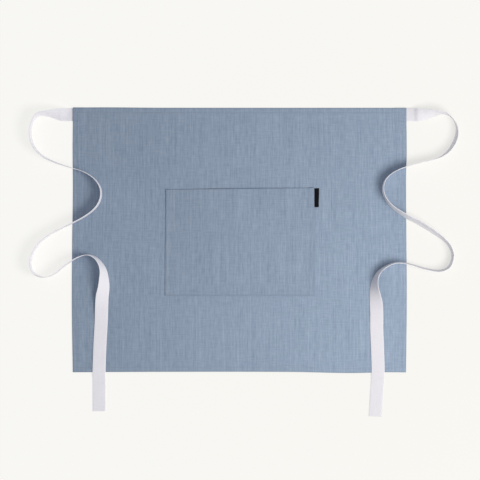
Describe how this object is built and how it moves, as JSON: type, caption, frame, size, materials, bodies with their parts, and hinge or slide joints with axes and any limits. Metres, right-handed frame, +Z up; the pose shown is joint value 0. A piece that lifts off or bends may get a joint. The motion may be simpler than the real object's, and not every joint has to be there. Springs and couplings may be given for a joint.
{
  "type": "waist apron",
  "caption": "Short hemmed linen waist apron lying face up, with a wide patch pocket, a small folded side tab and a cotton tape tie at each top corner.",
  "frame": {"origin": "middle of the panel's underside, where the apron rests", "axes": "+X along the waist edge towards the right side of the apron as it is seen lying face up, +Y towards the waist edge, +Z up out of the face"},
  "size_m": [0.8281, 0.6021, 0.0275],
  "materials": {
    "linen": "washed slub linen, matt",
    "cotton_tape": "white cotton twill tape, matt",
    "black_tape": "black woven tape, matt"
  },
  "bodies": {
    "root": {"apron_panel": "linen", "pocket": "linen", "side_tab": "black_tape", "left_tie": "cotton_tape", "right_tie": "cotton_tape"}
  },
  "joints": []
}
